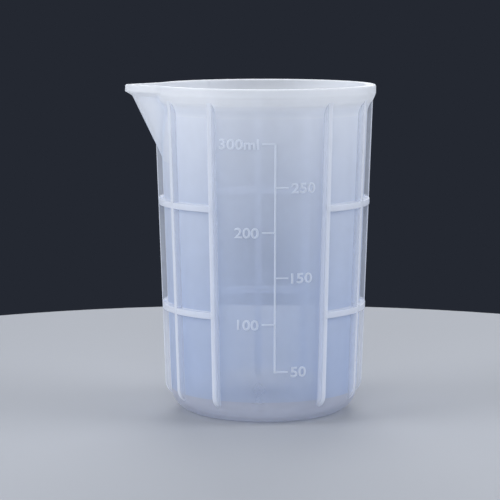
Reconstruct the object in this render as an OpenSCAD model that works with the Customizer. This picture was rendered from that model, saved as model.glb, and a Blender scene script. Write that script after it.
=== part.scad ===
/* [Cup] */
// Height from the face it rests on to the top of the rim
cup_h = 114; // [92:1:140]
// Outer radius of the wall, carried down to the ground
base_r = 32.2; // [27:0.1:40]
// Lean of the outside of the wall, in degrees
draft_out = 2; // [1.6:0.1:3]
// Lean of the inside of the wall, in degrees
draft_in = 1.5; // [0.8:0.1:2]
// Thickness of the wall, carried down to the ground
wall_t = 1.6; // [1.2:0.1:2.4]
// Thickness of the floor
floor_t = 1.2; // [0.8:0.1:2.4]
// Radius of the rounded corner round the outside of the foot
foot_r = 8; // [5:0.5:10]

/* [Rim] */
// How far the rim stands out from the wall below it
rim_out = 2.6; // [1.5:0.1:4]
// Width of the flat top of the rim
rim_w = 3.3; // [2.4:0.1:4.4]
// Height of the upright face of the rim
rim_h = 3; // [2:0.1:5]
// Height of the sloped face under the rim
rim_slope_h = 2.4; // [1:0.1:4]
// How far that slope draws in
rim_slope_w = 1; // [0.5:0.1:1.4]
// Height of the concave neck under the slope
cove_h = 4.6; // [3:0.1:7]
// Radius of the edges along the top of the rim
edge_r = 0.5; // [0.2:0.1:0.9]

/* [Spout] */
// How far the lip of the spout reaches past the rim
spout_reach = 9.3; // [6:0.1:13]
// Lean of the keel under the spout, in degrees from upright
keel_lean = 25.7; // [20:0.1:35]
// Half of the angle between the spout's two sides, square to the keel
spout_half = 48; // [40:1:55]
// Outer radius of the nose where the two sides meet
nose_r = 4; // [3:0.1:6]
// Thickness of the spout's sides
spout_t = 1.8; // [1.2:0.1:2.4]
// Height of the lip round the spout
lip_h = 3.2; // [2:0.1:5]
// How far the lip overhangs the keel
lip_over = 2.15; // [1:0.05:3]

/* [Ribs] */
// Number of upright ribs
ribs = 11; // [7:1:13]
// Angle of the plain panel between the first rib and the last
panel_angle = 65; // [55:1:75]
// Width of a rib
rib_w = 2; // [1.2:0.1:3]
// How far ribs and hoops stand out from the wall
rib_out = 2; // [1:0.1:2.4]
// Height at which a rib starts to curve in towards the foot
rib_curve_z = 10; // [8.5:0.5:14]
// Height of a rib's lower end
rib_foot_z = 5.5; // [4:0.1:7]
// Height of the middle of the lower hoop
lower_hoop_z = 37.2; // [25:0.1:50]
// Height of the middle of the upper hoop
upper_hoop_z = 73.6; // [60:0.1:76]
// Height of a hoop's band
hoop_h = 2.2; // [1.2:0.1:4]

/* [Scale] */
// Volume between two marks, in millilitres
mark_ml = 50; // [40:5:55]
// How far lines and figures stand out from the wall
print_out = 0.3; // [0.2:0.05:0.6]
// Distance of the scale's upright line from the middle of the panel
line_x = 1.6; // [-4:0.1:4]
// Width of the upright line
line_w = 0.65; // [0.4:0.05:1]
// Length of a tick
tick_l = 4.2; // [3:0.1:5]
// Thickness of a tick
tick_t = 0.5; // [0.4:0.05:0.8]
// Space between a tick and its figures
figure_gap = 1; // [0.6:0.1:1.6]
// Height of a figure
figure_h = 3.5; // [3:0.1:4]
// Width of a stroke
stroke = 0.5; // [0.4:0.05:0.6]
// Distance from one figure to the next
figure_pitch = 2.85; // [2.7:0.05:3.2]

/* [Hidden] */
rib_names = [for (i = [1:ribs]) str("rib_", i)];
lower_names = [for (i = [1:ribs - 1]) str("lower_hoop_", i)];
upper_names = [for (i = [1:ribs - 1]) str("upper_hoop_", i)];
marks = 6;
tick_names = [for (i = [1:marks]) str("tick_", i * mark_ml, "_ml")];
figure_names = [for (i = [1:marks]) str("figures_", i * mark_ml, "_ml")];
$fn = 96;
over = 1;
mm3_in_ml = 1000;
milky = [0.80, 0.84, 0.91];
milky_rib = [0.88, 0.90, 0.95];
milky_print = [0.93, 0.94, 0.97];

function wall_out(z) = base_r + z * tan(draft_out);
function wall_in(z) = base_r - wall_t + z * tan(draft_in);
function rib_line(z) = wall_out(z) + rib_out;

foot_x = wall_out(foot_r) - foot_r;
bowl_r = foot_r - floor_t;
floor_r = wall_in(foot_r) - bowl_r;

rim_r = wall_out(cup_h) + rim_out;
mouth_r = rim_r - rim_w;
slope_z = cup_h - rim_h - rim_slope_h;
neck_z = slope_z - cove_h;
slope_r = rim_r - rim_slope_w;
cove_out = slope_r - wall_out(neck_z);
cove_r = (pow(cove_out, 2) + pow(cove_h, 2)) / (2 * cove_out);
mouth_z = cup_h - rim_h;

spout_azimuth = 180;
lip_r = rim_r + spout_reach;
lip_z = cup_h - lip_h;
keel_r = lip_r - lip_over;
keel_meets_wall = (base_r - keel_r + lip_z * tan(keel_lean)) / (tan(keel_lean) - tan(draft_out));
spout_z = keel_meets_wall - over;
lip_half = atan(tan(spout_half) * cos(keel_lean));
lip_nose_more = 1;
lip_nose_r = nose_r + lip_nose_more;
spout_sector = 24;
vee_arm = rim_r / 2;
nose_steps = 4;

rib_step = (360 - panel_angle) / (ribs - 1);
rib_drop = rib_curve_z - rib_foot_z;
rib_end_r = foot_x + sqrt(pow(foot_r, 2) - pow(foot_r - rib_foot_z, 2));
rib_inset = rib_line(rib_curve_z) - rib_end_r;
rib_curve_r = (pow(rib_inset, 2) + pow(rib_drop, 2)) / (2 * rib_inset);

figure_w = 2.3;
bend_r = (figure_w - stroke) / 2;
arch_r = 0.62;
three_top_r = 0.7;
low_letter_share = 0.66;
low_letter_h = figure_h * low_letter_share;
letters_gap = 1.5 * stroke;
letters_w = 5 * arch_r + 3 * stroke;

bowl_ml = PI * (pow(floor_r, 2) * bowl_r + floor_r * pow(bowl_r, 2) * PI / 2
    + 2 * pow(bowl_r, 3) / 3) / mm3_in_ml;

// Height to which a volume fills the cup: the rounded bowl first, then the cone above it
function fill_z(ml) = foot_r + (pow(pow(wall_in(foot_r), 3)
    + 3 * mm3_in_ml * tan(draft_in) * (ml - bowl_ml) / PI, 1 / 3) - wall_in(foot_r)) / tan(draft_in);

// Azimuth of a rib, counted from the right-hand edge of the panel
function rib_azimuth(i) = panel_angle / 2 - 90 + (i - 1) * rib_step;

function polar(r, a) = [r * cos(a), r * sin(a)];

// Half outline of the cup's outside, between two heights above the foot
module wall_outline(z0, z1) {
    polygon([[0, z0], [wall_out(z0), z0], [wall_out(z1), z1], [0, z1]]);
}

// Half outline of the cup's inside above the bowl
module inside_outline() {
    polygon([
        [0, foot_r], [wall_in(foot_r), foot_r], [wall_in(neck_z), neck_z],
        [mouth_r, mouth_z], [mouth_r, cup_h + over], [0, cup_h + over]
    ]);
}

// A quarter of a round, with its centre at the corner
module quarter(r, turn) {
    intersection() {
        circle(r = r);
        rotate(turn) square(r + over);
    }
}

// Half outline of the neck and rim, solid to the axis
module rim_outline() {
    difference() {
        polygon([
            [0, neck_z], [wall_out(neck_z), neck_z], [slope_r, slope_z],
            [rim_r, mouth_z], [rim_r, cup_h], [0, cup_h]
        ]);
        translate([wall_out(neck_z) + cove_r, neck_z]) circle(r = cove_r);
        translate([rim_r - edge_r, cup_h - edge_r]) difference() {
            square(edge_r + over);
            circle(r = edge_r);
        }
    }
}

// Half outline of the rounded inner edge that is cut from the rim
module inner_edge() {
    translate([mouth_r - over, cup_h - edge_r]) difference() {
        square(edge_r + over);
        translate([over + edge_r, 0]) circle(r = edge_r);
    }
}

// The wedge round the spout's axis, from the spout's foot up past the rim
module spout_wedge() {
    near = floor_r / 2;
    far = 2 * lip_r;
    translate([0, 0, spout_z]) linear_extrude(cup_h) polygon([
        polar(near, spout_azimuth + spout_sector),
        polar(near, spout_azimuth - spout_sector),
        polar(far, spout_azimuth - spout_sector),
        polar(far, spout_azimuth + spout_sector)
    ]);
}

// A vee with a rounded nose of radius r, pointing along +X, its round centred at the origin
module vee(r, half) {
    turn = 90 - half;
    nose = [for (n = [-nose_steps:nose_steps]) polar(r, turn * n / nose_steps)];
    back = polar(r, turn) + polar(vee_arm, 180 - half);
    polygon(concat([[back.x, -back.y]], nose, [back]));
}

// The vee carried along the leaning keel: the spout's outside, or its channel
module keel_prism(r) {
    rotate([0, 0, spout_azimuth]) translate([keel_r, 0, lip_z]) rotate([0, keel_lean, 0])
        translate([-nose_r, 0, -lip_r]) linear_extrude(2 * lip_r) vee(r, spout_half);
}

// The upright band round the spout's edge
module lip_band() {
    rotate([0, 0, spout_azimuth]) translate([lip_r - lip_nose_r, 0, lip_z])
        linear_extrude(lip_h) vee(lip_nose_r, lip_half);
}

// The upright slab that holds one rib
module rib_slab(i) {
    rotate([0, 0, rib_azimuth(i)]) translate([floor_r, -rib_w / 2, 0])
        cube([rim_r - floor_r, rib_w, cup_h]);
}

// Half outline of the band that every rib and hoop is cut from
module rib_outline() {
    difference() {
        union() {
            polygon([
                [floor_r, rib_curve_z], [rib_line(rib_curve_z), rib_curve_z],
                [rib_line(mouth_z), mouth_z], [floor_r, mouth_z]
            ]);
            translate([rib_line(rib_curve_z) - rib_curve_r, rib_curve_z]) quarter(rib_curve_r, -90);
        }
        wall_outline(foot_r, neck_z);
        rim_outline();
        square([foot_x, foot_r]);
        translate([foot_x, foot_r]) quarter(foot_r, -90);
    }
}

module floor_disc() {
    color(milky) cylinder(h = floor_t, r = floor_r);
}

module foot_corner() {
    color(milky) difference() {
        union() {
            cylinder(h = foot_r, r = foot_x);
            rotate_extrude() translate([foot_x, foot_r]) quarter(foot_r, -90);
        }
        cylinder(h = foot_r, r = floor_r);
        rotate_extrude() translate([floor_r, foot_r]) quarter(bowl_r, -90);
    }
}

module cup_wall() {
    color(milky) difference() {
        rotate_extrude() difference() {
            wall_outline(foot_r, neck_z);
            inside_outline();
        }
        spout_wedge();
    }
}

module rim() {
    color(milky_rib) difference() {
        rotate_extrude() difference() {
            rim_outline();
            inside_outline();
            inner_edge();
        }
        spout_wedge();
    }
}

module pouring_spout() {
    color(milky_rib) difference() {
        union() {
            intersection() {
                spout_wedge();
                union() {
                    rotate_extrude() wall_outline(foot_r, neck_z);
                    rotate_extrude() rim_outline();
                }
            }
            intersection() {
                spout_wedge();
                union() {
                    lip_band();
                    intersection() {
                        keel_prism(nose_r);
                        cylinder(h = cup_h, r = lip_r);
                    }
                }
            }
        }
        keel_prism(nose_r - spout_t);
        rotate_extrude() inside_outline();
        rotate_extrude() inner_edge();
    }
}

module rib(i) {
    color(milky_rib) difference() {
        intersection() {
            rotate_extrude() rib_outline();
            rib_slab(i);
        }
        keel_prism(nose_r);
    }
}

// One stretch of a hoop, from the side of rib i to the side of the next
module hoop(i, z) {
    color(milky_rib) difference() {
        rotate([0, 0, rib_azimuth(i)]) rotate_extrude(angle = rib_step) intersection() {
            rib_outline();
            translate([0, z - hoop_h / 2]) square([lip_r, hoop_h]);
        }
        rib_slab(i);
        rib_slab(i + 1);
    }
}

// Gives a flat drawing the thickness of the raised scale, laid on the front of the wall
module raised() {
    color(milky_print) intersection() {
        rotate_extrude() polygon([
            [wall_out(foot_r), foot_r], [wall_out(foot_r) + print_out, foot_r],
            [wall_out(neck_z) + print_out, neck_z], [wall_out(neck_z), neck_z]
        ]);
        rotate([90, 0, 0]) linear_extrude(lip_r) children();
    }
}

module scale_line() {
    raised() translate([line_x - line_w / 2, fill_z(mark_ml) - tick_t / 2])
        square([line_w, fill_z(marks * mark_ml) - fill_z(mark_ml) + tick_t]);
}

// Odd marks have their tick and figures on the right of the line, even marks on the left
function side(i) = i % 2 == 1 ? 1 : -1;

module tick(i) {
    x0 = line_x + side(i) * line_w / 2;
    raised() translate([min(x0, x0 + side(i) * tick_l), fill_z(i * mark_ml) - tick_t / 2])
        square([tick_l, tick_t]);
}

// A straight stroke from one point to another
module line(from, to) {
    step = to - from;
    translate(from) rotate(atan2(step.y, step.x)) translate([0, -stroke / 2])
        square([norm(step), stroke]);
}

// A stroke bent to an arc of middle radius r
module bend(at, r, a0, a1) {
    reach = 3 * r;
    steps = 4;
    translate(at) intersection() {
        difference() {
            circle(r = r + stroke / 2);
            circle(r = r - stroke / 2);
        }
        polygon(concat([[0, 0]], [for (n = [0:steps]) polar(reach, a0 + (a1 - a0) * n / steps)]));
    }
}

module figure_0() {
    h = figure_h;
    difference() {
        union() {
            translate([0, figure_w / 2]) circle(d = figure_w);
            translate([0, h - figure_w / 2]) circle(d = figure_w);
            translate([-figure_w / 2, figure_w / 2]) square([figure_w, h - figure_w]);
        }
        translate([0, figure_w / 2]) circle(r = bend_r - stroke / 2);
        translate([0, h - figure_w / 2]) circle(r = bend_r - stroke / 2);
        translate([-bend_r + stroke / 2, figure_w / 2]) square([2 * bend_r - stroke, h - figure_w]);
    }
}

module figure_1() {
    square([stroke, figure_h]);
    line([stroke / 2, figure_h - stroke / 2], [-bend_r + stroke / 2, figure_h - 2 * stroke]);
}

module figure_2() {
    top = [0, figure_h - stroke / 2 - bend_r];
    start = 165;
    end = -35;
    bend(top, bend_r, end, start);
    line(top + polar(bend_r, end), [-bend_r, stroke / 2]);
    translate([-figure_w / 2, 0]) square([figure_w, stroke]);
}

module figure_3() {
    low_r = (figure_h - stroke) / 2 - three_top_r;
    tail = 150;
    waist = -95;
    bend([0, figure_h - stroke / 2 - three_top_r], three_top_r, waist, tail);
    bend([0, stroke / 2 + low_r], low_r, -tail, -waist);
}

module figure_5() {
    low = [-stroke / 5, stroke / 2 + bend_r];
    start = 140;
    tail = -145;
    stem_z = low.y + bend_r / 2;
    bend(low, bend_r, tail, start);
    translate([-bend_r, figure_h - stroke]) square([2 * bend_r, stroke]);
    translate([-bend_r, stem_z]) square([stroke, figure_h - stem_z]);
}

module letters_ml() {
    top = low_letter_h - stroke / 2 - arch_r;
    past = 5;
    square([stroke, low_letter_h]);
    for (x = [stroke / 2 + arch_r, stroke / 2 + 3 * arch_r]) {
        bend([x, top], arch_r, -past, 180 + past);
        translate([x + arch_r - stroke / 2, 0]) square([stroke, top]);
    }
    translate([letters_w - stroke, 0]) square([stroke, figure_h]);
}

module figure(digit) {
    if (digit == 0) figure_0();
    if (digit == 1) figure_1();
    if (digit == 2) figure_2();
    if (digit == 3) figure_3();
    if (digit == 5) figure_5();
}

function digits(n) = n < 10 ? [n] : concat(digits(floor(n / 10)), [n % 10]);

// The figures beside a mark; the topmost mark also says millilitres
module figures(i) {
    row = digits(i * mark_ml);
    unit = i == marks ? letters_w + letters_gap : 0;
    wide = (len(row) - 1) * figure_pitch + figure_w;
    near = line_x + side(i) * (line_w / 2 + tick_l + figure_gap);
    left = side(i) > 0 ? near : near - wide - unit;
    raised() translate([left + figure_w / 2, fill_z(i * mark_ml) - figure_h / 2]) {
        for (n = [0:len(row) - 1]) translate([n * figure_pitch, 0]) figure(row[n]);
        if (i == marks) translate([wide - figure_w / 2 + letters_gap, 0]) letters_ml();
    }
}

floor_disc();
foot_corner();
cup_wall();
rim();
pouring_spout();
for (i = [1:ribs]) rib(i);
for (i = [1:ribs - 1]) hoop(i, lower_hoop_z);
for (i = [1:ribs - 1]) hoop(i, upper_hoop_z);
scale_line();
for (i = [1:marks]) tick(i);
for (i = [1:marks]) figures(i);
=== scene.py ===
import math

import bmesh
import bpy
import numpy as np
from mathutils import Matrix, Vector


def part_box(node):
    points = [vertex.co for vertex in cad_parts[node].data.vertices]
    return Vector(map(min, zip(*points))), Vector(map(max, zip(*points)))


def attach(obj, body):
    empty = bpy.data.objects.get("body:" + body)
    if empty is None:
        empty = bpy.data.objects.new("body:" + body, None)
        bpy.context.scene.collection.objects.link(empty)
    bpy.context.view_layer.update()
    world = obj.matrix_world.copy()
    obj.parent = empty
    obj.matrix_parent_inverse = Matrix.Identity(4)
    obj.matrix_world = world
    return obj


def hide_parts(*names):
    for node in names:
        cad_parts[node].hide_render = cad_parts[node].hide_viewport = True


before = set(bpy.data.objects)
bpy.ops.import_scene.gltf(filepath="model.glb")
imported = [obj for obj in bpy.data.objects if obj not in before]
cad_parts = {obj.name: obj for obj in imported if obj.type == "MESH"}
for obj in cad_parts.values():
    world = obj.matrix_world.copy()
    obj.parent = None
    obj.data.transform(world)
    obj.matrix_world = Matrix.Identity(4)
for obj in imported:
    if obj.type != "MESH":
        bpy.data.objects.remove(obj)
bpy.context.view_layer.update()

# The moulded skin
# The whole cup is one moulding of platinum-cure silicone, injected between a polished core and a blasted
# steel shell. Floor, foot corner, wall, rim and spout are stretches of one thick sheet with two faces.
MM = 0.001
WALL_T = 1.6
DRAFT_IN = math.radians(1.5)
RIM_W = 3.3
RIM_H = 3.0
SLOPE_H = 2.4
SLOPE_W = 1.0
EDGE = 0.8
CROWNED = 0.06
SLOPE_EASE = 0.5
RIM_EASE = 0.6
MOUTH_EASE = 1.6
COVE_EASE = 0.01
COVE_GIVES = 3
FLOOR_ROWS = 10
CORNER_ROWS = 20
LOW_ROWS = 40
HIGH_ROWS = 36
RIM_ROWS = 44
CROWN_ROWS = 10
SMOOTH_ANGLE = math.radians(35)


def box_mm(node):
    """The lowest and the highest corner of a CAD node, in millimetres."""
    low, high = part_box(node)
    return np.array(low) / MM, np.array(high) / MM


floor_r, _, floor_t = box_mm("floor_disc")[1]
foot_top_r, _, foot_z = box_mm("foot_corner")[1]
wall_top_r, _, neck_z = box_mm("cup_wall")[1]
rim_r, _, cup_h = box_mm("rim")[1]
lip_r = -box_mm("pouring_spout")[0][0]
spout_z = box_mm("pouring_spout")[0][2]
lean_out = (wall_top_r - foot_top_r) / (neck_z - foot_z)
foot_x = foot_top_r - foot_z
bowl_r = foot_z - floor_t
mouth_r = rim_r - RIM_W
mouth_z = cup_h - RIM_H
slope_z = mouth_z - SLOPE_H
slope_r = rim_r - SLOPE_W


def wall_out(z):
    """Radius of the outside of the wall: a straight cone."""
    return foot_top_r + (z - foot_z) * lean_out


def wall_in(z):
    """Radius of the inside of the wall: a cone with less lean, so the wall thickens upward."""
    return wall_out(0) - WALL_T + z * math.tan(DRAFT_IN)


def arc(centre, radius, start, end, count=24):
    """Points on a circle: centre + radius * (cos, sin) of even angles from start to end, in degrees."""
    turn = np.radians(np.linspace(start, end, count))
    return np.stack([centre[0] + radius * np.cos(turn), centre[1] + radius * np.sin(turn)], axis=1)


def eased(corners, cuts, steps=9):
    """A broken line whose inner corners are eased: each gives way to the quadratic curve that has the corner
    as its control point and touches both sides at the cut's distance from it."""
    corners = np.asarray(corners, float)
    s = np.linspace(0, 1, steps)[:, None]
    line = [corners[:1]]
    for before, at, after, cut in zip(corners, corners[1:], corners[2:], cuts):
        start = at + cut * (before - at) / np.linalg.norm(before - at)
        end = at + cut * (after - at) / np.linalg.norm(after - at)
        line.append((1 - s) ** 2 * start + 2 * s * (1 - s) * at + s ** 2 * end)
    return np.concatenate(line + [corners[-1:]])


def spaced(line, count):
    """Points along a broken line at even distances, by its running length."""
    line = np.asarray(line, float)
    run = np.concatenate([[0], np.cumsum(np.hypot(*np.diff(line, axis=0).T))])
    at = np.linspace(0, run[-1], count + 1)
    return np.stack([np.interp(at, run, line[:, k]) for k in range(2)], axis=1)


cove_h = slope_z - neck_z
cove_out = slope_r - wall_top_r
cove_r = (cove_out ** 2 + cove_h ** 2) / (2 * cove_out)
cove_turn = math.degrees(math.asin(cove_h / cove_r))
whole_cove = arc((wall_top_r + cove_r, neck_z), cove_r, 180, 180 - cove_turn)
# The cove's last points give way to the ease under the slope
cove = whole_cove[:-COVE_GIVES]
crown_r = rim_r - RIM_W / 2
edge_z = cup_h - CROWNED
edge_cut = EDGE - CROWNED
rim_side = eased([*cove, (slope_r, slope_z), (rim_r, mouth_z), (rim_r, cup_h - EDGE)],
                 [COVE_EASE] * (len(cove) - 1) + [SLOPE_EASE, RIM_EASE])
mouth_side = eased([(wall_in(neck_z), neck_z), (mouth_r, mouth_z), (mouth_r, cup_h - EDGE)], [MOUTH_EASE])
crown_out = eased([(rim_r, cup_h - EDGE), (rim_r, edge_z), (crown_r, cup_h)], [edge_cut])
crown_in = eased([(mouth_r, cup_h - EDGE), (mouth_r, edge_z), (crown_r, cup_h)], [edge_cut])
# The outline of the sheet's outer and inner face, from the middle of the floor out and up to the rim's crown
STRETCHES = {
    "floor": (spaced([(0, 0), (floor_r, 0)], FLOOR_ROWS),
              spaced([(0, floor_t), (floor_r, floor_t)], FLOOR_ROWS)),
    "corner": (spaced([(floor_r, 0), *arc((foot_x, foot_z), foot_z, -90, 0)], CORNER_ROWS),
               spaced(arc((floor_r, foot_z), bowl_r, -90, 0), CORNER_ROWS)),
    "low_wall": (spaced([(wall_out(foot_z), foot_z), (wall_out(spout_z), spout_z)], LOW_ROWS),
                 spaced([(wall_in(foot_z), foot_z), (wall_in(spout_z), spout_z)], LOW_ROWS)),
    "high_wall": (spaced([(wall_out(spout_z), spout_z), (wall_out(neck_z), neck_z)], HIGH_ROWS),
                  spaced([(wall_in(spout_z), spout_z), (wall_in(neck_z), neck_z)], HIGH_ROWS)),
    "rim_side": (spaced(rim_side, RIM_ROWS), spaced(mouth_side, RIM_ROWS)),
    "crown": (spaced(crown_out, CROWN_ROWS), spaced(crown_in, CROWN_ROWS)),
}
first_row = {}
outlines = []
for stretch, faces in STRETCHES.items():
    first_row[stretch] = sum(len(part[0]) for part in outlines)
    outlines.append([line[:-1] for line in faces])
outlines.append([STRETCHES["crown"][0][-1:], STRETCHES["crown"][1][-1:]])
outline = np.array([np.concatenate([part[side] for part in outlines]) for side in range(2)])
rows = outline.shape[1]

# The columns of the sheet, which stand closer together round the spout
SPOUT_AT = math.pi
SPOUT_SECTOR = math.radians(24)
FINE_COLUMNS = 120
COARSE_COLUMNS = 312
turns = np.concatenate([
    np.linspace(-SPOUT_SECTOR, SPOUT_SECTOR, FINE_COLUMNS, endpoint=False),
    np.linspace(SPOUT_SECTOR, 2 * math.pi - SPOUT_SECTOR, COARSE_COLUMNS, endpoint=False),
])
columns = len(turns)

# The spout's shape
# The spout is a vee with a round nose, carried up a leaning keel. A lip runs round its edge, level with the
# rim, and its channel is the same vee set in by the spout's own thickness.
LIP_OVER = 2.15
LIP_H = 2.4
LIP_UNDER_H = 1.2
KEEL_Z = 110.8
KEEL_LEAN = math.radians(25.7)
VEE_HALF = math.radians(45)
NOSE_R = 4.0
LIP_NOSE_R = 5.0
SPOUT_T = 1.8
VEE_SPREAD = math.pi / 3
LIP_CREASE = 0.5
CREASE = 0.5
CHANNEL_CREASE = 3.0
keel_r = lip_r - LIP_OVER


def vee(turn, nose, round_r):
    """Distance from the cup's axis to a vee seen from above: by the law of sines on its straight sides,
    and on its round nose by the distance along a ray to a circle. It is nought past the vee's spread."""
    turn = np.abs((turn + math.pi) % (2 * math.pi) - math.pi)
    ahead = turn < VEE_SPREAD
    turn = np.where(ahead, turn, 0)
    centre = nose - round_r
    side = (centre * math.sin(VEE_HALF) + round_r) / np.sin(VEE_HALF + turn)
    touch = np.arctan2(round_r * math.cos(VEE_HALF), centre + round_r * math.sin(VEE_HALF))
    nose_arc = centre * np.cos(turn) + np.sqrt(np.maximum(round_r ** 2 - (centre * np.sin(turn)) ** 2, 0))
    return np.where(ahead, np.where(turn < touch, nose_arc, side), 0)


def blended(a, b, width):
    """The greater of two surfaces with a fillet where they cross: a parabola that rises by width / 4."""
    near = np.maximum(width - np.abs(a - b), 0) / width
    return np.maximum(a, b) + near ** 2 * width / 4


def keel(turn, z, inset=0.0):
    """The leaning vee at a height; inset gives its channel, a sheet's thickness inside it."""
    nose = keel_r + (z - KEEL_Z) * math.tan(KEEL_LEAN) - inset / math.cos(KEEL_LEAN)
    return vee(turn, nose, NOSE_R - inset)


def skin_out(turn, z, plain):
    """Radius of the cup's outside: the plain outline, with the keel and the spout's lip blended on."""
    under = np.maximum(cup_h - LIP_H - z, 0) * LIP_OVER / LIP_UNDER_H
    lip = vee(turn, lip_r - under, LIP_NOSE_R)
    return blended(plain, blended(keel(turn, z), lip, LIP_CREASE), CREASE)


def skin_in(turn, z, plain):
    """Radius of the cup's inside: the plain outline with the spout's channel blended on."""
    return blended(plain, keel(turn, z, SPOUT_T), CHANNEL_CREASE)


crown = first_row["crown"]
turn_grid = turns[None, :]
radius = np.empty((2, rows, columns))
height = np.repeat(outline[:, :, 1:], columns, axis=2)
for side, skin in enumerate((skin_out, skin_in)):
    plain = outline[side, :crown + 1]
    radius[side, :crown + 1] = skin(turn_grid, plain[:, 1:], plain[:, :1])
edge_r = radius[:, crown].copy()
top_width = (edge_r[0] - edge_r[1]) / RIM_W
inset = np.abs(outline[:, crown:, 0] - outline[:, crown, 0][:, None])
radius[0, crown:] = edge_r[0] - inset[0][:, None] * top_width
radius[1, crown:] = edge_r[1] + inset[1][:, None] * top_width
world_turn = SPOUT_AT + turns
sheet = np.stack([radius * np.cos(world_turn), radius * np.sin(world_turn), height], axis=-1)

# Normals of both faces of the sheet, from the steps between neighbouring points of the grid
along = np.gradient(sheet, axis=1)
around = np.roll(sheet, -1, axis=2) - np.roll(sheet, 1, axis=2)
shine = np.cross(around, along)
shine[1] *= -1
shine[:, 0] = np.array([[0, 0, -1], [0, 0, 1]])[:, None]
shine[:, -1] = (0, 0, 1)
shine /= np.linalg.norm(shine, axis=-1, keepdims=True)
# The two faces close up at the crown, but the silicone under it is as thick as the rim
thickness = np.linalg.norm(sheet[0] - sheet[1], axis=-1)
thickness[crown:] = np.maximum(thickness[crown], thickness[crown:])

# Point numbers: the middle of each face of the floor is one point, and both faces share the crown's last row
number = np.arange(2 * rows * columns).reshape(2, rows, columns)
number[:, 0] = number[:, 0, :1]
number[1, -1] = number[0, -1]


def new_piece(name, points, faces, materials, which=None, normals=None, thick=None):
    """A mesh object from points in millimetres and faces as lists of point numbers. Its normals are given
    corner by corner, or follow the faces with sharp edges past the smooth angle."""
    mesh = bpy.data.meshes.new(name)
    mesh.from_pydata((np.asarray(points) * MM).tolist(), [], faces)
    for material in materials:
        mesh.materials.append(material)
    if which is not None:
        mesh.polygons.foreach_set("material_index", which)
    mesh.polygons.foreach_set("use_smooth", np.ones(len(faces), bool))
    if normals is not None:
        mesh.normals_split_custom_set(normals)
    else:
        mesh.set_sharp_from_angle(angle=SMOOTH_ANGLE)
    depth = mesh.attributes.new("thick_mm", "FLOAT", "POINT")
    depth.data.foreach_set("value", np.broadcast_to(thick, len(points)).astype(np.float32))
    mesh.update()
    piece = bpy.data.objects.new(name, mesh)
    bpy.context.scene.collection.objects.link(piece)
    return piece


def sheet_piece(name, cells, materials):
    """A closed piece of the sheet from the grid cells that it takes: a quad on each face for each cell, and
    a contact quad from face to face wherever a cell has no neighbour in the piece."""
    right = np.roll(number, -1, axis=2)
    out, inn = number[:, :-1], number[:, 1:]
    out_r, inn_r = right[:, :-1], right[:, 1:]
    a, b, c, d = out[0], out_r[0], inn_r[0], inn[0]
    e, f, g, h = out[1], out_r[1], inn_r[1], inn[1]
    below = np.vstack([np.zeros((1, columns), bool), cells[:-1]])
    above = np.vstack([cells[1:], np.zeros((1, columns), bool)])
    lowest = np.zeros_like(cells)
    lowest[0] = True
    highest = lowest[::-1]
    skins = [(a, b, c, d), (e, h, g, f)]
    edges = [
        ((a, e, f, b), cells & ~below & ~lowest),
        ((d, c, g, h), cells & ~above & ~highest),
        ((a, d, h, e), cells & ~np.roll(cells, 1, axis=1)),
        ((b, f, g, c), cells & ~np.roll(cells, -1, axis=1)),
    ]
    skin = np.concatenate([np.stack(corners, axis=-1)[cells] for corners in skins])
    contact = np.concatenate([np.stack(corners, axis=-1)[taken] for corners, taken in edges])
    points = sheet.reshape(-1, 3)
    flat = np.cross(points[contact[:, 2]] - points[contact[:, 0]],
                    points[contact[:, 3]] - points[contact[:, 1]])
    flat /= np.linalg.norm(flat, axis=1, keepdims=True)
    used = np.unique(np.concatenate([skin.ravel(), contact.ravel()]))
    faces, normals, which = [], [], []
    for kind, (quads, corners) in enumerate([(skin, shine.reshape(-1, 3)[skin]),
                                             (contact, np.repeat(flat[:, None], 4, axis=1))]):
        apart = quads != np.roll(quads, 1, axis=1)
        whole = apart.all(axis=1)
        faces += np.searchsorted(used, quads[whole]).tolist()
        normals.append(corners[whole].reshape(-1, 3))
        faces += np.searchsorted(used, quads[~whole][apart[~whole]]).reshape(-1, 3).tolist()
        normals.append(corners[~whole][apart[~whole]])
        which += [kind] * len(quads)
    return new_piece(name, points[used], faces, materials, which, np.concatenate(normals),
                     np.tile(thickness.ravel(), 2)[used])


# The silicone
# Milky platinum silicone: clear rubber clouded by fine silica, so thin places let the background through
# and look blue, thick places turn white, and the blasted mould leaves a soft satin gloss.


def linear(code):
    """sRGB hex to a linear RGBA colour."""
    channels = np.array([int(code[k:k + 2], 16) for k in (0, 2, 4)]) / 255
    low, high = channels / 12.92, ((channels + 0.055) / 1.055) ** 2.4
    return (*np.where(channels <= 0.04045, low, high).tolist(), 1.0)


def add_node(material, kind, inputs=(), **settings):
    """Adds a node to a material, sets its properties, and sets or links its inputs by name or number."""
    made = material.node_tree.nodes.new(kind)
    for name, value in settings.items():
        setattr(made, name, value)
    for socket, value in dict(inputs).items():
        if isinstance(value, bpy.types.NodeSocket):
            material.node_tree.links.new(value, made.inputs[socket])
        else:
            made.inputs[socket].default_value = value
    return made


def new_material(name):
    """An empty node material and its output node."""
    material = bpy.data.materials.new(name)
    material.use_nodes = True
    material.node_tree.nodes.clear()
    return material, add_node(material, "ShaderNodeOutputMaterial")


SILICONE_IOR = 1.41
SATIN = 0.34
CLEAR_PER_MM = 0.57
SQUARE_ON = 0.35
ASLANT = 1.7
BLUE_UP_TO_MM = 1.4
WHITE_FROM_MM = 3.0
PASSED_WHERE_THIN = 0.55
PASSED_WHERE_THICK = 0.3
CLOUD_MM = 22.0
CLOUD_RANGE = (0.3, 0.7)
CLOUD_SWING = 0.15
GRAIN_MM = 0.35
GRAIN_DEPTH_MM = 0.05
GRAIN_STRENGTH = 0.12


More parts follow.
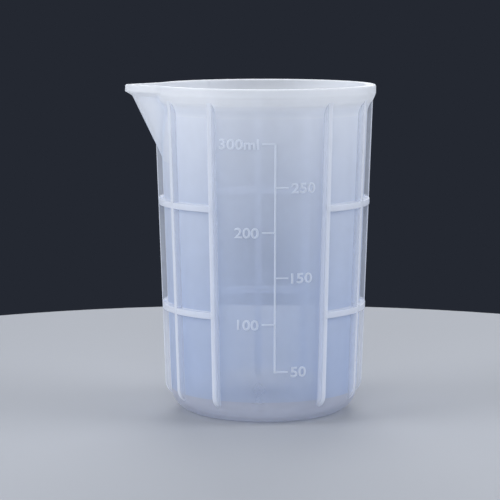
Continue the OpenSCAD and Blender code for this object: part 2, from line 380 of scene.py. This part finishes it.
def silicone(name, thin, thick, clear=CLEAR_PER_MM, passing=PASSED_WHERE_THICK):
    """Milky silicone. What shows through one face is clear ** (thickness * way), where way is SQUARE_ON for a
    face seen square on and grows by up to ASLANT for one seen edge on, and a soft cloud varies it. The rest
    is scattered: thin places are blue and pass half of it on, thick ones are white and send most back."""
    material, output = new_material(name)
    place = add_node(material, "ShaderNodeTexCoord").outputs["Object"]
    depth = add_node(material, "ShaderNodeAttribute", attribute_name="thick_mm").outputs["Fac"]
    cloud = add_node(material, "ShaderNodeTexNoise",
                     {"Vector": place, "Scale": 1 / (CLOUD_MM * MM), "Detail": 3.0, "Roughness": 0.5})
    grain = add_node(material, "ShaderNodeTexNoise",
                     {"Vector": place, "Scale": 1 / (GRAIN_MM * MM), "Detail": 2.0, "Roughness": 0.5})
    aslant = add_node(material, "ShaderNodeLayerWeight", {"Blend": 0.5}).outputs["Facing"]
    whiteness = add_node(material, "ShaderNodeMapRange",
                         {"Value": depth, "From Min": BLUE_UP_TO_MM, "From Max": WHITE_FROM_MM},
                         interpolation_type="SMOOTHSTEP")
    tone = add_node(material, "ShaderNodeMix",
                    {0: whiteness.outputs["Result"], 6: linear(thin), 7: linear(thick)}, data_type="RGBA")
    clouded = add_node(material, "ShaderNodeMapRange",
                       {"Value": cloud.outputs["Fac"], "From Min": CLOUD_RANGE[0], "From Max": CLOUD_RANGE[1],
                        "To Min": 1 - CLOUD_SWING, "To Max": 1 + CLOUD_SWING})
    way = add_node(material, "ShaderNodeMath", {0: aslant, 1: ASLANT, 2: SQUARE_ON},
                   operation="MULTIPLY_ADD")
    length = add_node(material, "ShaderNodeMath", {0: way.outputs[0], 1: depth}, operation="MULTIPLY")
    milky = add_node(material, "ShaderNodeMath",
                     {0: length.outputs[0], 1: clouded.outputs["Result"]}, operation="MULTIPLY")
    see_through = add_node(material, "ShaderNodeMath", {0: clear, 1: milky.outputs[0]}, operation="POWER")
    satin = add_node(material, "ShaderNodeBump",
                     {"Height": grain.outputs["Fac"], "Strength": GRAIN_STRENGTH,
                      "Distance": GRAIN_DEPTH_MM * MM})
    colour = tone.outputs[2]
    back = add_node(material, "ShaderNodeBsdfPrincipled",
                    {"Base Color": colour, "Roughness": SATIN, "IOR": SILICONE_IOR,
                     "Normal": satin.outputs["Normal"]})
    through = add_node(material, "ShaderNodeBsdfTranslucent", {"Color": colour})
    clear_part = add_node(material, "ShaderNodeBsdfTransparent")
    passed_on = add_node(material, "ShaderNodeMapRange",
                         {"Value": whiteness.outputs["Result"], "To Min": PASSED_WHERE_THIN,
                          "To Max": passing})
    scattered = add_node(material, "ShaderNodeMixShader",
                         {0: passed_on.outputs["Result"], 1: back.outputs["BSDF"],
                          2: through.outputs["BSDF"]})
    whole = add_node(material, "ShaderNodeMixShader",
                     {0: see_through.outputs[0], 1: scattered.outputs[0], 2: clear_part.outputs[0]})
    material.node_tree.links.new(whole.outputs[0], output.inputs["Surface"])
    return material


# One silicone, in the tones that its places have: blue in the wall, and whiter in the rim, the ribs' fronts
# and the scale.
# The foot's copy is greyer and darker than the wall's: painted shade, where little light comes from below
wall_silicone = silicone("milky_silicone_wall", "D0DEF6", "F4F7FD")
rim_silicone = silicone("milky_silicone_rim", "E4ECFA", "F6F9FE", passing=0.45)
foot_silicone_painted_shade = silicone("milky_silicone_foot_painted_shade", "D9DCE6", "E8EAF0")
rib_silicone = silicone("milky_silicone_rib", "C8DAFA", "F2F6FE", clear=0.72)
scale_silicone = silicone("milky_silicone_scale", "E8F0FE", "F1F6FE", clear=0.58)

# Where two pieces of the one moulding meet there is no surface, so their contact faces are clear
contact_face, contact_output = new_material("inside_of_silicone")
contact_face.node_tree.links.new(add_node(contact_face, "ShaderNodeBsdfTransparent").outputs[0],
                                 contact_output.inputs["Surface"])

row_number = np.arange(rows - 1)[:, None]
in_spout = np.broadcast_to(np.arange(columns)[None, :] < FINE_COLUMNS, (rows - 1, columns))


def rows_between(start, end=None):
    """The cells of the sheet from the first row of one stretch to the first row of another."""
    stop = rows if end is None else first_row[end]
    taken = (row_number >= first_row[start]) & (row_number < stop)
    return np.broadcast_to(taken, (rows - 1, columns))


# The floor
# A flat disc of silicone that the cup stands on, the thinnest place of the moulding. It comes out of the
# mould with the rest and runs on into the rounded corner round it.
# The floor takes the foot's silicone, whose greyer, darker tone is painted shade
floor_piece = sheet_piece("cup_floor", rows_between("floor", "corner"), [foot_silicone_painted_shade, contact_face])
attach(floor_piece, "root")
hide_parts("floor_disc")

# The foot corner
# The rounded turn from floor to wall, a quarter round outside and a smaller one inside, which leaves no
# corner where resin could stay. It is the same silicone, in the same shot.
# The corner takes the foot's silicone, whose greyer, darker tone is painted shade
corner_piece = sheet_piece("foot_bowl", rows_between("corner", "low_wall"), [foot_silicone_painted_shade, contact_face])
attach(corner_piece, "root")
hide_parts("foot_corner")

# The wall
# A tall cone of silicone, a little thicker towards the top because the core leans less than the shell. It is
# notched where the spout's own sheet begins.
wall_cells = rows_between("low_wall", "rim_side") & ~(rows_between("high_wall") & in_spout)
wall_piece = sheet_piece("tapered_wall", wall_cells, [wall_silicone, contact_face])
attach(wall_piece, "root")
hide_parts("cup_wall")

# The rim
# A concave neck, a short slope and a thick flat-topped rim that stiffens the mouth. It is the thickest and so
# the whitest place of the moulding.
rim_piece = sheet_piece("rolled_rim", rows_between("rim_side") & ~in_spout, [rim_silicone, contact_face])
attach(rim_piece, "root")
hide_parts("rim")

# The pouring spout
# The vee-shaped beak that gathers the pour, with its lip, its channel and the patch of wall that it grows
# from. It is moulded with the cup, so the rim's band runs on round its edge.
spout_piece = sheet_piece("pouring_beak", rows_between("high_wall") & in_spout, [rim_silicone, contact_face])
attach(spout_piece, "root")
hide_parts("pouring_spout")

# The upright ribs
# Eleven square-edged ribs stiffen the soft wall. Each is moulded on, with a small fillet at its root, curves
# in under the foot to a round tip, and dies into the rim or the spout at its top.
RIB_W = 2.0
RIB_OUT = 2.0
RIB_CURVE_Z = 10.0
RIB_FOOT_Z = 5.5
RIB_STEP = 0.4
RIB_FOOT_RINGS = 24
RIB_TOP_ZONE = 20.0
RIB_EDGE = 0.35
RIB_FILLET = 0.25
RIB_LEAST = 0.05
RIB_ROOM = 0.9
TIP_LEAST = 0.05
ROOTED = 0.25
SIDE_DEPTH = 2.8
FRONT_DEPTH = 5.2
BAR_STEPS = 6


def plain_out(z):
    """Radius of the cup's outside away from the spout, at any height: the sheet's own outline."""
    return np.interp(z, outline[0, :crown, 1], outline[0, :crown, 0])


def bar_profile(half, out, edge, fillet):
    """Outline of a bar on a wall, one row for each place along it: across = half width with a round edge
    inside it and a fillet outside it, up = distance from the wall, closed by a straight root in the wall."""
    quarter = np.linspace(0, math.pi / 2, BAR_STEPS)[None, :]
    half, out, edge, fillet = (np.asarray(value, float).reshape(-1, 1) for value in (half, out, edge, fillet))
    root_across = half + fillet * (1 - np.sin(quarter))
    root_up = fillet * (1 - np.cos(quarter))
    edge_across = half - edge * (1 - np.cos(quarter))
    edge_up = out - edge * (1 - np.sin(quarter))
    sunk = np.full_like(half, -ROOTED)
    across = np.hstack([half + fillet, root_across, edge_across])
    up = np.hstack([sunk, root_up, edge_up])
    return np.hstack([across, -across[:, ::-1]]), np.hstack([up, up[:, ::-1]])


def bar_depth():
    """How thick the silicone acts at each point of a bar's outline: the bar and the wall behind its front,
    less on its sides, and more on both than it measures, because light also scatters along the bar."""
    side = np.full(BAR_STEPS + 1, SIDE_DEPTH)
    front = np.linspace(SIDE_DEPTH, FRONT_DEPTH, BAR_STEPS)
    return np.concatenate([side, front, front[::-1], side])


def closed_bar(name, points, material, thick):
    """A closed mesh from rings of points: quads from ring to ring, and a flat face at each end."""
    count, ring = points.shape[:2]
    index = np.arange(count * ring).reshape(count, ring)
    after = np.roll(index, -1, axis=1)
    sides = np.stack([index[:-1], after[:-1], after[1:], index[1:]], axis=-1).reshape(-1, 4)
    faces = [*sides.tolist(), index[0, ::-1].tolist(), index[-1].tolist()]
    flat = points.reshape(-1, 3)
    a, b, c, d = (flat[sides[:, k]] for k in range(4))
    volume = np.einsum("ij,ij->", a, np.cross(b, c)) + np.einsum("ij,ij->", a, np.cross(c, d))
    if volume < 0:
        faces = [face[::-1] for face in faces]
    return new_piece(name, flat, faces, [material], thick=thick)


rib_names = sorted((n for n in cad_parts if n.startswith("rib_")), key=lambda n: int(n[4:]))
rib_curve_out = wall_out(RIB_CURVE_Z) + RIB_OUT
rib_drop = RIB_CURVE_Z - RIB_FOOT_Z
rib_inset = rib_curve_out - foot_x - math.sqrt(foot_z ** 2 - (foot_z - RIB_FOOT_Z) ** 2)
rib_curve_r = (rib_inset ** 2 + rib_drop ** 2) / (2 * rib_inset)


def rib_line(z):
    """Radius of a rib's outer face: parallel to the wall, then a round turned in under the foot."""
    below = np.clip(RIB_CURVE_Z - z, 0, rib_curve_r)
    return np.where(z > RIB_CURVE_Z, wall_out(z) + RIB_OUT,
                    rib_curve_out - rib_curve_r + np.sqrt(rib_curve_r ** 2 - below ** 2))


def rib_turn(name):
    """A rib's azimuth, from the middle of its box."""
    low, high = box_mm(name)
    return math.atan2(low[1] + high[1], low[0] + high[0])


def upright_bar(name, turn, z, half, out_r, base_r, thick):
    """A bar up the wall: each ring is the bar's profile, set out from the wall at that height. Where the bar
    runs out, its edge and fillet shrink with it."""
    out = np.maximum(out_r - base_r, RIB_LEAST)
    room = np.clip(RIB_ROOM * out / (RIB_EDGE + RIB_FILLET), 0, 1)
    across, up = bar_profile(half, out, RIB_EDGE * room, RIB_FILLET * room)
    reach = np.sqrt(base_r[:, None] ** 2 - across ** 2) + up
    points = np.stack([
        reach * math.cos(turn) - across * math.sin(turn),
        reach * math.sin(turn) + across * math.cos(turn),
        np.repeat(z[:, None], across.shape[1], axis=1),
    ], axis=-1)
    return closed_bar(name, points, rib_silicone, np.tile(thick, len(z)))


for node_name in rib_names:
    turn = rib_turn(node_name)
    z = np.concatenate([np.linspace(RIB_FOOT_Z, RIB_CURVE_Z, RIB_FOOT_RINGS, endpoint=False),
                        np.arange(RIB_CURVE_Z, mouth_z, RIB_STEP)])
    base_r = skin_out(turn - SPOUT_AT, z, plain_out(z))
    covered = np.nonzero((rib_line(z) < base_r) & (z > neck_z - RIB_TOP_ZONE))[0]
    stop = covered[0] + 1 if len(covered) else len(z)
    tip = np.clip((z - RIB_FOOT_Z) / (RIB_W / 2), TIP_LEAST, 1)
    half = RIB_W / 2 * np.sqrt(1 - (1 - tip) ** 2)
    rib_piece = upright_bar(f"stiffening_{node_name}", turn, z[:stop], half[:stop], rib_line(z)[:stop],
                            base_r[:stop], bar_depth())
    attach(rib_piece, "root")
    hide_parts(node_name)

# The hoops
# Two level ribs ring the cup, broken at the graduated panel. Each stretch runs from the side of one upright
# rib to the side of the next, a hair less proud than they are, and is moulded with them.
HOOP_SHY = 0.02
HOOP_COLUMNS = 24
hoop_names = [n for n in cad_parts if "_hoop_" in n]


def hoop_bar(name, node_name):
    """A stretch of hoop: the bar's profile, turned about the cup's axis from one rib to the next."""
    low, high = box_mm(node_name)
    middle_z = (low[2] + high[2]) / 2
    first = int(node_name.split("_")[-1])
    start, end = (rib_turn(f"rib_{k}") for k in (first, first + 1))
    end = start + (end - start) % (2 * math.pi)
    sunk = (RIB_W / 2 - ROOTED) / wall_out(middle_z)
    turn = np.linspace(start + sunk, end - sunk, HOOP_COLUMNS)
    full = np.ones(HOOP_COLUMNS)
    across, up = bar_profile(full * (high[2] - low[2]) / 2, full * (RIB_OUT - HOOP_SHY), full * RIB_EDGE,
                             full * RIB_FILLET)
    z = middle_z + across
    reach = wall_out(z) + up
    points = np.stack([reach * np.cos(turn)[:, None], reach * np.sin(turn)[:, None], z], axis=-1)
    depth = np.tile(bar_depth(), HOOP_COLUMNS)
    return closed_bar(name, points, rib_silicone, depth)


for node_name in hoop_names:
    hoop_piece = hoop_bar(f"level_{node_name}", node_name)
    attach(hoop_piece, "root")
    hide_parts(node_name)

# The raised scale
# An upright line, six ticks and their figures, engraved in the mould's shell, so that they stand 0.3 mm out
# of the wall. They are the same silicone and look a little whiter because it is thicker there.
PRINT_OUT = 0.3
PRINT_ROOT = 0.1
PRINT_EDGE = 0.1
LINE_X = 1.6
LINE_W = 0.5
TICK_L = 4.2
TICK_W = 0.42
FIGURE_GAP = 1.0
FIGURE_H = 3.5
FONT_DIGIT_H = 0.73
FIGURE_SPREAD = 1.14
STEP_MM = 0.5
PRINT_WHITE = 3.6
WELD = 0.001


def on_front(x, z, up):
    """A flat drawing laid on the front of the wall: x and z stay, and up is measured square to the wall."""
    base = wall_out(z)
    swell = 1 + up / base
    return np.stack([x * swell, -np.sqrt(base ** 2 - x ** 2) * swell, z + 0 * x], axis=-1)


def stroke(name, start, end, width):
    """A raised line between two points of the drawing, with round edges: rings of one bar profile."""
    start, end = np.array(start), np.array(end)
    run = np.linalg.norm(end - start)
    way = (end - start) / run
    count = int(run / STEP_MM) + 2
    middle = start + np.linspace(0, run, count)[:, None] * way
    full = np.ones(count)
    across, up = bar_profile(full * width / 2, full * PRINT_OUT, full * PRINT_EDGE, full * PRINT_EDGE / 2)
    x = middle[:, :1] + across * way[1]
    z = middle[:, 1:] + across * way[0]
    return closed_bar(name, on_front(x, z, up), scale_silicone, PRINT_WHITE)


def lettering(name, text, beside, z, to_right):
    """Raised figures: a plain type outline, given thickness and a bevel, welded into closed solids, then laid
    on the wall."""
    type_face = bpy.data.curves.new(name, "FONT")
    type_face.body = text
    type_face.size = FIGURE_H / FONT_DIGIT_H
    type_face.extrude = (PRINT_OUT + PRINT_ROOT) / 2 - PRINT_EDGE
    type_face.bevel_depth = PRINT_EDGE
    type_face.bevel_resolution = 2
    type_face.offset = -PRINT_EDGE / 4
    type_face.resolution_u = 6
    holder = bpy.data.objects.new(name, type_face)
    bpy.context.scene.collection.objects.link(holder)
    flat = bpy.data.meshes.new_from_object(holder.evaluated_get(bpy.context.evaluated_depsgraph_get()))
    bpy.data.objects.remove(holder)
    welded = bmesh.new()
    welded.from_mesh(flat)
    bmesh.ops.remove_doubles(welded, verts=welded.verts, dist=WELD)
    bmesh.ops.recalc_face_normals(welded, faces=welded.faces)
    welded.to_mesh(flat)
    welded.free()
    points = np.empty(len(flat.vertices) * 3)
    flat.vertices.foreach_get("co", points)
    x, y, up = points.reshape(-1, 3).T
    x = FIGURE_SPREAD * (x - (x.min() if to_right else x.max())) + beside
    faces = [list(polygon.vertices) for polygon in flat.polygons]
    middle = (PRINT_OUT - PRINT_ROOT) / 2
    return new_piece(name, on_front(x, y + z - FIGURE_H / 2, up + middle), faces, [scale_silicone],
                     thick=PRINT_WHITE)


tick_names = sorted((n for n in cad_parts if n.startswith("tick_")), key=lambda n: int(n.split("_")[1]))
for k, node_name in enumerate(tick_names):
    low, high = box_mm(node_name)
    mark = node_name.split("_")[1]
    mark_z = (low[2] + high[2]) / 2
    to_right = k % 2 == 0
    side = 1 if to_right else -1
    near = LINE_X + side * LINE_W / 2
    far = near + side * TICK_L
    tick = stroke(f"raised_tick_{mark}", (near - side * LINE_W / 4, mark_z), (far, mark_z), TICK_W)
    text = f"{mark}ml" if node_name == tick_names[-1] else mark
    figures = lettering(f"raised_figures_{mark}", text, far + side * FIGURE_GAP, mark_z, to_right)
    for piece, stands_for in ((tick, node_name), (figures, f"figures_{mark}_ml")):
        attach(piece, "root")
        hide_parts(stands_for)

line_low, line_high = box_mm("scale_line")
scale_line = stroke("raised_scale_line", (LINE_X, line_low[2]), (LINE_X, line_high[2]), LINE_W)
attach(scale_line, "root")
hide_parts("scale_line")

# The studio
# A plain pale table top of matt laminate and a dark backdrop, softboxes in front, on both sides, behind and
# above, and the camera at the photograph's place: a long lens, a little above the rim.
TABLE_R = 0.24
TABLE_DROP = 0.0002
TABLE_CORNERS = 96
AMBIENT = 0.3
turn = np.linspace(0, 2 * math.pi, TABLE_CORNERS, endpoint=False)
ring = np.stack([TABLE_R * np.cos(turn), TABLE_R * np.sin(turn), np.full(TABLE_CORNERS, -TABLE_DROP)], axis=1)
table = new_piece("table_top", ring / MM, [list(range(TABLE_CORNERS))], [], thick=1.0)
table_material, table_output = new_material("matt_table_top")
table_paint = add_node(table_material, "ShaderNodeBsdfPrincipled",
                       {"Base Color": linear("A9ADB5"), "Roughness": 0.8})
table_material.node_tree.links.new(table_paint.outputs[0], table_output.inputs["Surface"])
table.data.materials.append(table_material)

world = bpy.data.worlds.new("studio")
bpy.context.scene.world = world
world.use_nodes = True
world.node_tree.nodes.clear()
# The camera, reflections and what shows through see the backdrop, and the rest is lit by the ambient light
seen = add_node(world, "ShaderNodeLightPath")
camera_or_gloss = add_node(world, "ShaderNodeMath",
                           {0: seen.outputs["Is Camera Ray"], 1: seen.outputs["Is Glossy Ray"]},
                           operation="MAXIMUM")
shown = add_node(world, "ShaderNodeMath",
                 {0: camera_or_gloss.outputs[0], 1: seen.outputs["Is Transmission Ray"]},
                 operation="MAXIMUM")
ambient = add_node(world, "ShaderNodeBackground", {"Color": linear("DDE4F0"), "Strength": AMBIENT})
backdrop = add_node(world, "ShaderNodeBackground", {"Color": linear("242831"), "Strength": 1.0})
sky = add_node(world, "ShaderNodeMixShader",
               {0: shown.outputs[0], 1: ambient.outputs[0], 2: backdrop.outputs[0]})
add_node(world, "ShaderNodeOutputWorld", {"Surface": sky.outputs[0]})


AIM = (0, 0, 0.06)


def softbox(name, place, size, power):
    """A square area lamp that faces the middle of the cup."""
    lamp = bpy.data.lights.new(name, "AREA")
    lamp.size = size
    lamp.energy = power
    holder = bpy.data.objects.new(name, lamp)
    holder.location = place
    away = np.array(place) - np.array(AIM)
    tilt = math.atan2(math.hypot(away[0], away[1]), away[2])
    holder.rotation_euler = (tilt, 0, math.atan2(away[1], away[0]) + math.pi / 2)
    bpy.context.scene.collection.objects.link(holder)


softbox("front_softbox", (-0.15, -0.95, 0.42), 0.6, 4.2)
softbox("left_softbox", (-0.75, -0.2, 0.4), 0.5, 3.6)
softbox("right_softbox", (0.75, -0.15, 0.4), 0.5, 3.2)
softbox("back_softbox", (0.1, 0.9, 0.5), 0.6, 3.4)
softbox("top_softbox", (0, 0.1, 0.85), 0.5, 1.8)

CAMERA_AWAY = 0.74807
CAMERA_UP = 0.15046
CAMERA_ASIDE = -0.00486
CAMERA_HEADING = math.radians(-3.2)
CAMERA_PITCH = math.radians(-7.2)
CAMERA_LENS = 155.1
CAMERA_SENSOR = 36
lens = bpy.data.cameras.new("camera")
lens.lens = CAMERA_LENS
lens.sensor_width = CAMERA_SENSOR
camera = bpy.data.objects.new("camera", lens)
ahead = np.array([-math.sin(CAMERA_HEADING), math.cos(CAMERA_HEADING)])
aside = np.array([ahead[1], -ahead[0]])
camera.location = (*(CAMERA_ASIDE * aside - CAMERA_AWAY * ahead), CAMERA_UP)
camera.rotation_euler = (math.pi / 2 + CAMERA_PITCH, 0, CAMERA_HEADING)
bpy.context.scene.collection.objects.link(camera)
bpy.context.scene.camera = camera

bpy.context.scene.view_settings.view_transform = "Standard"
# A line of sight can cross more clear faces than the 8 that are let through unasked
bpy.context.scene.cycles.transparent_max_bounces = 32
